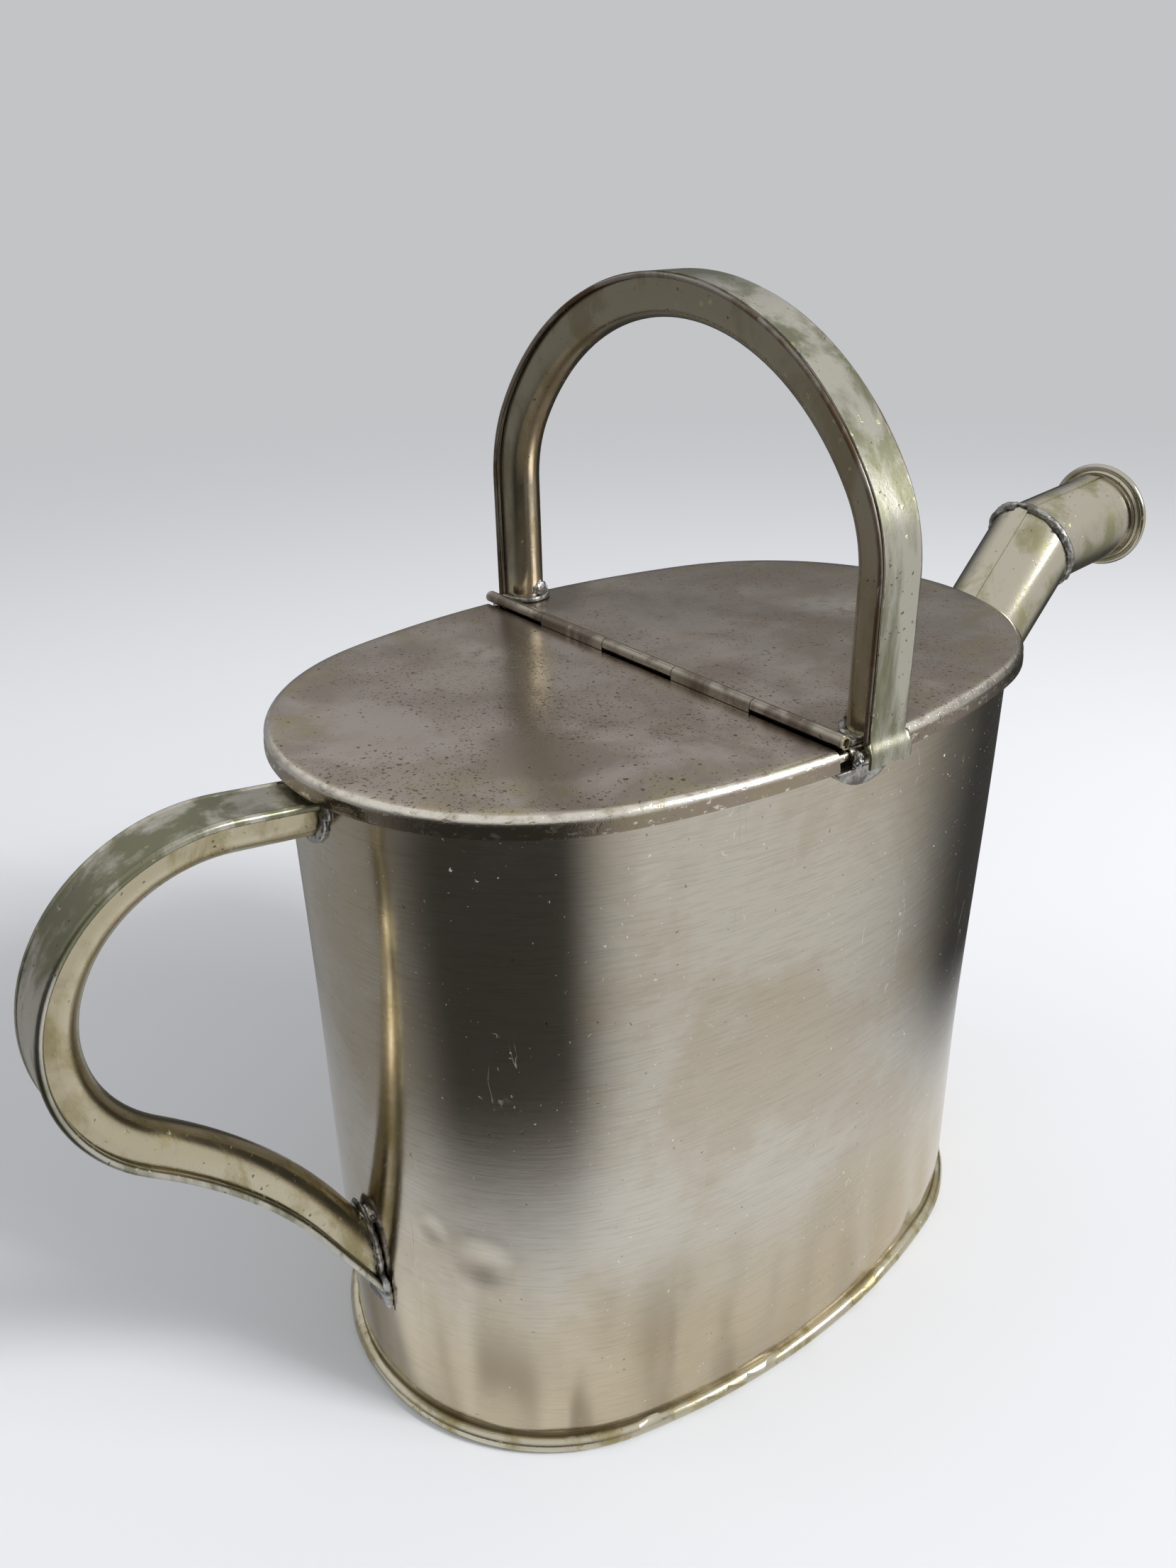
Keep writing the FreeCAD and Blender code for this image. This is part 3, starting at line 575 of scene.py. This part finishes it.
def grid_mesh(name, rings, closed_rows=True):
    """Quads between rows of points. Each row is a loop; closed_rows joins the last to the first."""
    rows, count = rings.shape[:2]
    index = np.arange(rows * count).reshape(rows, count)
    following = np.roll(index, -1, axis=1)
    above = np.roll(index, -1, axis=0) if closed_rows else index[1:]
    below, below_next = (index, following) if closed_rows else (index[:-1], following[:-1])
    above_next = np.roll(following, -1, axis=0) if closed_rows else following[1:]
    quads = np.stack([below, below_next, above_next, above], axis=-1).reshape(-1, 4)
    mesh = bpy.data.meshes.new(name)
    mesh.from_pydata(rings.reshape(-1, 3).tolist(), [], quads.tolist())
    mesh.validate()
    return mesh


print("piece helpers ready")

# %% [markdown]
# ## The wall
# The wall is one strip of sheet, bent to an oval and joined under the spout. Old sheet is never
# true: it has a few dents from knocks, and it ripples a little where it was hammered onto the
# bottom. Reflections show every millimetre of that, so the dents are real shape, not a texture.
# A grid of points follows the oval, and formulas push the points in or out.

# %% The oval
END_CENTRE, SIDE_CENTRE = 55.5 * MM, 201.6 * MM
SIDE_OVER_END = math.hypot(END_CENTRE, SIDE_CENTRE)
JOIN_TURN = math.atan2(SIDE_CENTRE, END_CENTRE)
WALL_RADIUS = 78.5 * MM
AROUND = 640


def oval_line(radius, count, softness=9 * MM):
    """Evenly spaced points round the oval from its front, the outward way, and the length so far."""
    side = radius + SIDE_OVER_END
    turns = np.array([-JOIN_TURN, JOIN_TURN, math.pi - JOIN_TURN, math.pi + JOIN_TURN,
                      2 * math.pi - JOIN_TURN])
    end_length, side_length = 2 * JOIN_TURN * radius, (math.pi - 2 * JOIN_TURN) * side
    lengths = np.cumsum([0, end_length, side_length, end_length, side_length])
    step = lengths[-1] / count
    along = np.arange(count) * step + end_length / 2
    spread = np.linspace(-3, 3, 61)
    weight = np.exp(-spread ** 2 / 2)
    turn = np.zeros(count)
    for offset, w in zip(spread * softness, weight / weight.sum()):
        shifted = along + offset
        wraps = np.floor(shifted / lengths[-1])
        turn += w * (np.interp(shifted - wraps * lengths[-1], lengths, turns) + wraps * 2 * math.pi)
    way = np.stack([np.cos(turn), np.sin(turn)], axis=1)
    forward = np.stack([-np.sin(turn), np.cos(turn)], axis=1) * step
    line = np.cumsum((forward + np.roll(forward, 1, axis=0)) / 2, axis=0)
    return line - line.mean(axis=0), way, along - end_length / 2


line, outward, travel = oval_line(WALL_RADIUS, AROUND)
print("oval", np.round(line.max(axis=0) / MM, 2), "mm half sizes")

# %% Dents and ripples
WALL_LENGTH = travel[-1] + travel[1]


def place_on_wall(x, y):
    """How far along the oval the wall passes nearest to this point."""
    return travel[np.argmin(np.hypot(line[:, 0] - x * MM, line[:, 1] - y * MM))]


# Where (x, y), height, radius and depth of each dent, and the height of its raised ring, in mm.
DENTS = [(-66, -78, 223, 6.0, 0.62, 0.05), (-117, -49, 84, 6.2, 0.85, 0.16), (-126, -34, 93, 3.5, 0.30, 0.1),
         (20, -88, 120, 40, 0.5, 0.0), (-60, -80, 34, 9, -0.35, 0.0), (-30, -86, 190, 26, 0.25, 0.0),
         (70, 76, 90, 22, 1.2, 0.3), (-60, 80, 170, 16, 1.0, 0.2), (118, -50, 60, 14, 0.6, 0.1)]
RIPPLES = [(27, 260, 0.42), (41, 340, 0.50), (16, 120, 0.10)]
WAVES = [(150, 400, 0.30), (95, 300, 0.14), (210, 180, 0.20), (60, 240, 0.05)]


def wall_push(height):
    """How far the wall stands in (-) or out (+) all round at this height."""
    push = np.zeros(AROUND)
    for x, y, middle, radius, depth, ring in DENTS:
        gap = (travel - place_on_wall(x, y) + WALL_LENGTH / 2) % WALL_LENGTH - WALL_LENGTH / 2
        reach = np.hypot(gap, height - middle * MM) / (radius * MM)
        push -= depth * MM * np.exp(-reach ** 2)
        push += ring * MM * np.exp(-((reach - 1.7) / 0.5) ** 2)
    phase = travel / WALL_LENGTH * 2 * math.pi
    for number, (across, up, size) in enumerate(WAVES):
        turns = round(WALL_LENGTH / MM / across)
        push += size * MM * np.sin(phase * turns + 1.7 * number + 2 * math.pi * height / (up * MM))
    low = math.exp(-((height / MM) / 50) ** 2)
    for number, (across, up, size) in enumerate(RIPPLES):
        turns = round(WALL_LENGTH / MM / across)
        push += low * size * MM * np.sin(phase * turns + 2.1 * number + 0.6 * np.sin(3 * phase)
                                         + 2 * math.pi * height / (up * MM))
    steady = min(1.0, (height / MM - 5.4) / 12) * min(1.0, max(0.0, (244 - height / MM) / 14))
    return push * steady


# %% Make the wall
RIM_HEIGHT, RIM_OUT, RIM_ROLL = 244.8 * MM, 1.7 * MM, 1.9 * MM
WALL_FOOT, SHEET = 5.4 * MM, 0.8 * MM
ROWS = 100


SPOUT_HOLE = 17.9 * MM
SPOUT_ELBOW = Vector((206, 0, 249.5)) * MM
SPOUT_RISE = math.radians(47)
SEAM_HALF, SEAM_STEP = 4.6 * MM, 0.65 * MM


def make_wall():
    first = math.atan2(-math.sqrt(RIM_ROLL ** 2 - RIM_OUT ** 2), -RIM_OUT)
    heights = np.linspace(WALL_FOOT, RIM_HEIGHT + RIM_ROLL * math.sin(first), ROWS)
    skin = [(0.0, z) for z in heights]
    for turn in np.linspace(first, math.pi, 20)[1:]:
        skin.append((RIM_OUT + RIM_ROLL * math.cos(turn), RIM_HEIGHT + RIM_ROLL * math.sin(turn)))
    inner = [(-SHEET, z) for z in np.linspace(RIM_HEIGHT, WALL_FOOT, ROWS // 2)]
    seam = np.minimum(travel, WALL_LENGTH - travel) < SEAM_HALF
    rows = []
    for number, (out, z) in enumerate(skin + inner):
        push = wall_push(z) + out
        if number < ROWS - 2 and z > 7 * MM:
            push = push + seam * SEAM_STEP
        flat = line + outward * push[:, None]
        rows.append(np.column_stack([flat, np.full(AROUND, z)]))
    mesh = grid_mesh("wall", np.array(rows))
    wall = add_piece("wall", mesh, "wall_metal", ["body_wall"])
    drill = bpy.data.meshes.new("drill")
    shape = bmesh.new()
    bmesh.ops.create_cone(shape, segments=96, radius1=SPOUT_HOLE, radius2=SPOUT_HOLE, depth=0.2)
    shape.to_mesh(drill)
    shape.free()
    tool = bpy.data.objects.new("drill", drill)
    way = Vector((math.cos(SPOUT_RISE), 0, math.sin(SPOUT_RISE)))
    tool.matrix_world = (Matrix.Translation(SPOUT_ELBOW - way * 0.13)
                         @ way.to_track_quat("Z", "Y").to_matrix().to_4x4())
    bpy.context.scene.collection.objects.link(tool)
    cut = wall.modifiers.new("spout_hole", "BOOLEAN")
    cut.object = tool
    cut.operation = "DIFFERENCE"
    cut.solver = "EXACT"
    shaped = bpy.data.meshes.new_from_object(wall.evaluated_get(bpy.context.evaluated_depsgraph_get()))
    wall.modifiers.clear()
    wall.data = shaped
    bpy.data.objects.remove(tool)
    return wall


wall = make_wall()
print("wall:", len(wall.data.vertices), "points")

# %% [markdown]
# ## Solder
# The handles and the spout are held by solder that was wiped on by hand. It froze in lumps. The
# frame has the plain fillets; each is remeshed into small even faces here, and noise then swells
# and pinches it.

# %% Lumpy solder
def lumpy(node, size, height, grain=0.45 * MM):
    """The node's own shape with lumps of this size and height frozen into its surface."""
    rough = bpy.data.objects.new("rough", NODES[node].data.copy())
    bpy.context.scene.collection.objects.link(rough)
    melt = rough.modifiers.new("melt", "REMESH")
    melt.mode = "VOXEL"
    melt.voxel_size = grain
    mesh = bpy.data.meshes.new_from_object(rough.evaluated_get(bpy.context.evaluated_depsgraph_get()))
    bpy.data.objects.remove(rough)
    for point in mesh.vertices:
        spot = point.co / size
        swell = noise.fractal(spot, 0.9, 2.1, 3) + 0.25
        point.co += point.normal * swell * height
    mesh.name = node + "_lumps"
    return add_piece(node.replace("_solder", "_lumps"), mesh, "solder", [node], 180)


LUMPS = {"spout_elbow_solder": (4.0 * MM, 0.55 * MM), "spout_base_solder": (5.0 * MM, 0.4 * MM),
         "top_handle_solder": (3.0 * MM, 0.4 * MM), "rear_handle_upper_solder": (3.5 * MM, 0.4 * MM),
         "rear_handle_lower_solder": (3.5 * MM, 0.55 * MM), "hinge_end_solder": (4.0 * MM, 0.15 * MM)}
for node, (size, height) in LUMPS.items():
    piece = lumpy(node, size, height)
    print(piece.name, len(piece.data.vertices), "points")

# %% [markdown]
# ## The lid and the front cover
# Both are one oval cover, pressed from thin sheet and then sawn across for the hinge. The top
# rolls over into a short skirt that hangs outside the rim. A profile goes round the oval, a plane
# cuts it, and slow waves a fraction of a millimetre high keep the top from being a perfect mirror.

# %% Cover shape
COVER_RADIUS, COVER_TOP, SKIRT_BOTTOM = 83.5 * MM, 248.0 * MM, 241.7 * MM
COVER_SHEET = 0.7 * MM
COVER_AROUND = 400


def cover_profile(inset):
    """Skirt bottom to the start of the flat top: how far inside the rim's line, and how high."""
    points = [(0.0, SKIRT_BOTTOM), (0.05 * MM, 242.9 * MM), (0.3 * MM, 244.2 * MM)]
    for turn in np.linspace(0, math.pi / 2, 10)[1:]:
        points.append((0.3 * MM + 3.1 * MM * (1 - math.cos(turn)), 244.9 * MM + 3.1 * MM * math.sin(turn)))
    shifted = []
    for number, (inner, high) in enumerate(points):
        before, after = points[max(number - 1, 0)], points[min(number + 1, len(points) - 1)]
        run, climb = after[0] - before[0], after[1] - before[1]
        length = math.hypot(run, climb)
        shifted.append((inner + inset * climb / length, high - inset * run / length))
    return shifted


def cover_rings(inset):
    """Rings of points from the skirt's bottom to the middle of the top."""
    rings = []
    for inner, high in cover_profile(inset):
        ring, way, _ = oval_line(COVER_RADIUS - inner, COVER_AROUND, 5 * MM)
        rings.append(np.column_stack([ring, np.full(COVER_AROUND, high)]))
    last = rings[-1]
    for share in list(np.linspace(1, 0, 36))[1:]:
        rings.append(last * (share, share, 1))
    return rings


def cover_wave(points, cut_at):
    """Slow waves of the flat top, still at the rim and along the hinge."""
    x, y = points[:, 0] / MM, points[:, 1] / MM
    wave = 0.16 * np.sin(x / 19 + 1.3 * np.sin(y / 31)) + 0.13 * np.sin(y / 15 - x / 37 + 1.0)
    wave = wave + 0.05 * np.sin(x / 7.3 + y / 11)
    rim = np.clip((1 - np.hypot(x / 139, y / 91)) / 0.16, 0, 1)
    hinge = np.clip((np.abs(x - cut_at / MM) - 16) / 14, 0, 1)
    flat = np.clip((points[:, 2] - 0.2470) / 0.0003, 0, 1)
    return wave * rim * hinge * flat * MM * 0.8


def make_cover(name, node, body, cut_at, side):
    outer, inner = cover_rings(0.0), cover_rings(COVER_SHEET)
    rings = np.array(outer + inner[::-1])
    mesh = grid_mesh(name, rings, closed_rows=True)
    shape = bmesh.new()
    shape.from_mesh(mesh)
    bmesh.ops.remove_doubles(shape, verts=shape.verts[:], dist=1e-6)
    plane = dict(plane_co=(cut_at, 0, 0), plane_no=(side, 0, 0), clear_inner=True)
    bmesh.ops.bisect_plane(shape, geom=shape.verts[:] + shape.edges[:] + shape.faces[:], **plane)
    edges = [edge for edge in shape.edges if edge.is_boundary]
    bmesh.ops.holes_fill(shape, edges=edges, sides=0)
    bmesh.ops.triangulate(shape, faces=[face for face in shape.faces if len(face.verts) > 4])
    bmesh.ops.recalc_face_normals(shape, faces=shape.faces[:])
    shape.to_mesh(mesh)
    shape.free()
    points = np.array([point.co for point in mesh.vertices])
    points[:, 2] += cover_wave(points, cut_at)
    mesh.vertices.foreach_set("co", points.reshape(-1))
    mesh.update()
    return add_piece(name, mesh, "cover_metal", [node], 40, body)


LID_CUT, COVER_CUT = -14.9 * MM, -10.1 * MM
for name, node, body, cut_at, side in (("lid", "lid_plate", "lid", LID_CUT, -1),
                                       ("cover", "front_cover", "can", COVER_CUT, 1)):
    piece = make_cover(name, node, body, cut_at, side)

# %% [markdown]
# ## The carrying handle's strap
# The strap is a strip whose edges are rolled round wire. It is bent over a former, and its two
# feet are dressed outwards over the cover's shoulder. One cross-section follows a path; near the
# feet the rolls flatten and the strip spreads a little.

# %% Strap path
STRAP_X, STRAP_SPAN, STRAP_SPRING = 1.6 * MM, 93.0 * MM, 292.55 * MM
STRAP_HALF, EDGE_ROLL = 8.0 * MM, 1.3 * MM


def strap_path():
    """Half of the outer line from the foot to the top: (out, up, how far the foot leans out)."""
    path = []
    for share in np.linspace(0, 1, 15):
        height = 241.7 + 9.8 * share
        lean = 0.5 + 0.5 * math.cos(math.pi * min(1, max(0, (height - 244.6) / 6.4)))
        path.append((STRAP_SPAN + 2.1 * MM * lean, height * MM, lean))
    for height in np.linspace(252.5, 292.55, 22):
        path.append((STRAP_SPAN, height * MM, 0.0))
    shoulder, top = 55.0 * MM, 100.0 * MM
    turn_over = math.acos((STRAP_SPAN - shoulder) / (top - shoulder))
    for turn in np.linspace(0, turn_over, 16)[1:]:
        path.append((STRAP_SPAN - shoulder * (1 - math.cos(turn)),
                     STRAP_SPRING + shoulder * math.sin(turn), 0.0))
    last_out, last_up, _ = path[-1]
    for turn in np.linspace(turn_over, math.pi / 2, 40)[1:]:
        path.append((last_out - top * (math.cos(turn_over) - math.cos(turn)),
                     last_up + top * (math.sin(turn) - math.sin(turn_over)), 0.0))
    return path


half_path = strap_path()
print("strap path ends at", [round(v / MM, 2) for v in half_path[-1][:2]], "mm")

# %% Strap shape
def strap_section(lean):
    """One cross-section: (across, deep) points of a strip with two rolled edges."""
    roll, half = EDGE_ROLL * (1 - 0.55 * lean), STRAP_HALF + 0.35 * MM * lean
    top = 0.18 * MM * (1 - lean)
    under = top + 1.0 * MM
    start = math.atan2(top - roll, -math.sqrt(roll ** 2 - (roll - top) ** 2))
    end = math.atan2(under - roll, -math.sqrt(roll ** 2 - (roll - under) ** 2))
    right = [(half + roll * math.cos(a), roll + roll * math.sin(a)) for a in np.linspace(start, end, 15)]
    flat = [(share * right[0][0], top) for share in np.linspace(-0.92, 0.92, 9)]
    below = [(-share * right[-1][0], under) for share in np.linspace(-0.92, 0.92, 9)]
    left = [(-across, deep) for across, deep in reversed(right)]
    return flat + right + below + left


def make_strap():
    whole = [(-out, up, lean) for out, up, lean in half_path]
    whole += [(out, up, lean) for out, up, lean in reversed(half_path[:-1])]
    line = np.array([(y, z) for y, z, _ in whole])
    ahead = np.gradient(line, axis=0)
    ahead /= np.linalg.norm(ahead, axis=1)[:, None]
    rows = []
    for number, (y, z, lean) in enumerate(whole):
        along, up = ahead[number]
        section = np.array(strap_section(lean))
        waver = 0.12 * MM * math.sin(number * 0.31) * (1 - lean)
        rows.append(np.column_stack([STRAP_X + section[:, 0] + waver, y + up * section[:, 1],
                                     z - along * section[:, 1]]))
    mesh = grid_mesh("carrying_strap", np.array(rows), closed_rows=False)
    shape = bmesh.new()
    shape.from_mesh(mesh)
    bmesh.ops.holes_fill(shape, edges=[edge for edge in shape.edges if edge.is_boundary], sides=0)
    bmesh.ops.triangulate(shape, faces=[face for face in shape.faces if len(face.verts) > 4])
    bmesh.ops.recalc_face_normals(shape, faces=shape.faces[:])
    shape.to_mesh(mesh)
    shape.free()
    return add_piece("carrying_strap", mesh, "strap_metal", ["top_handle_strap"], 50)


print("strap:", len(make_strap().data.polygons), "faces")

# %% [markdown]
# ## Drops of solder and the hinge's curled ends
# Beside the feet a few drops of solder froze where they ran. The hinge barrel is sheet curled
# round its pin; at each end the curl shows as a small scroll.

# %% Drops
def drop(name, centre, radii, height=0.35):
    """A frozen drop of solder: a ball pressed to these radii (mm) and made uneven."""
    shape = bmesh.new()
    bmesh.ops.create_icosphere(shape, subdivisions=4, radius=1.0)
    for point in shape.verts:
        swell = 1 + height * noise.fractal(point.co * 1.6 + Vector(centre), 0.9, 2.0, 3)
        point.co = Vector([c + r * swell * v for c, r, v in zip(centre, radii, point.co)]) * MM
    mesh = bpy.data.meshes.new(name)
    shape.to_mesh(mesh)
    shape.free()
    return add_piece(name, mesh, "solder", crease=180)


DROPS = {"drop_hinge_near": ((-8.7, -91.7, 244.3), (1.5, 1.6, 2.6)),
         "drop_foot_near": ((11.4, -91.3, 246.2), (1.4, 1.3, 2.0)),
         "drop_hinge_far": ((-8.7, 91.7, 244.3), (1.5, 1.6, 2.6)),
         "drop_foot_far": ((11.4, 91.3, 246.2), (1.4, 1.3, 2.0)),
         "drop_channel_far": ((3.6, 80.0, 252.2), (3.2, 1.3, 3.4)),
         "drop_channel_near": ((1.6, -80.0, 251.4), (3.6, 1.2, 2.4)),
         "drop_rear_low": ((-134.2, -1.5, 79.5), (2.2, 4.2, 2.4))}
for name, (centre, radii) in DROPS.items():
    drop(name, centre, radii)
print("drops:", len(DROPS))


# %% Curled ends
HINGE_X, HINGE_Z = -12.5 * MM, 250.1 * MM
CURL_SHEET_HALF = 0.26 * MM


def curled_end(name, side):
    """A strip curled once round the pin, standing a little proud of the barrel's end."""
    turns = np.linspace(math.radians(-60), math.radians(300), 40)
    radii = np.linspace(1.35, 1.95, 40) * MM
    inner, outer = radii - CURL_SHEET_HALF, radii + CURL_SHEET_HALF
    rows = []
    for turn, near, far in zip(turns, inner, outer):
        corners = [(near, 89.0), (far, 89.0), (far, 90.0), (near, 90.0)]
        rows.append([(HINGE_X + r * math.cos(turn), side * y * MM, HINGE_Z + r * math.sin(turn))
                     for r, y in corners])
    mesh = grid_mesh(name, np.array(rows), closed_rows=False)
    shape = bmesh.new()
    shape.from_mesh(mesh)
    bmesh.ops.holes_fill(shape, edges=[edge for edge in shape.edges if edge.is_boundary], sides=0)
    bmesh.ops.recalc_face_normals(shape, faces=shape.faces[:])
    shape.to_mesh(mesh)
    shape.free()
    return add_piece(name, mesh, "channel_metal", crease=30)


for name, side in (("curl_near", -1), ("curl_far", 1)):
    curled_end(name, side)
print("curled ends: 2")
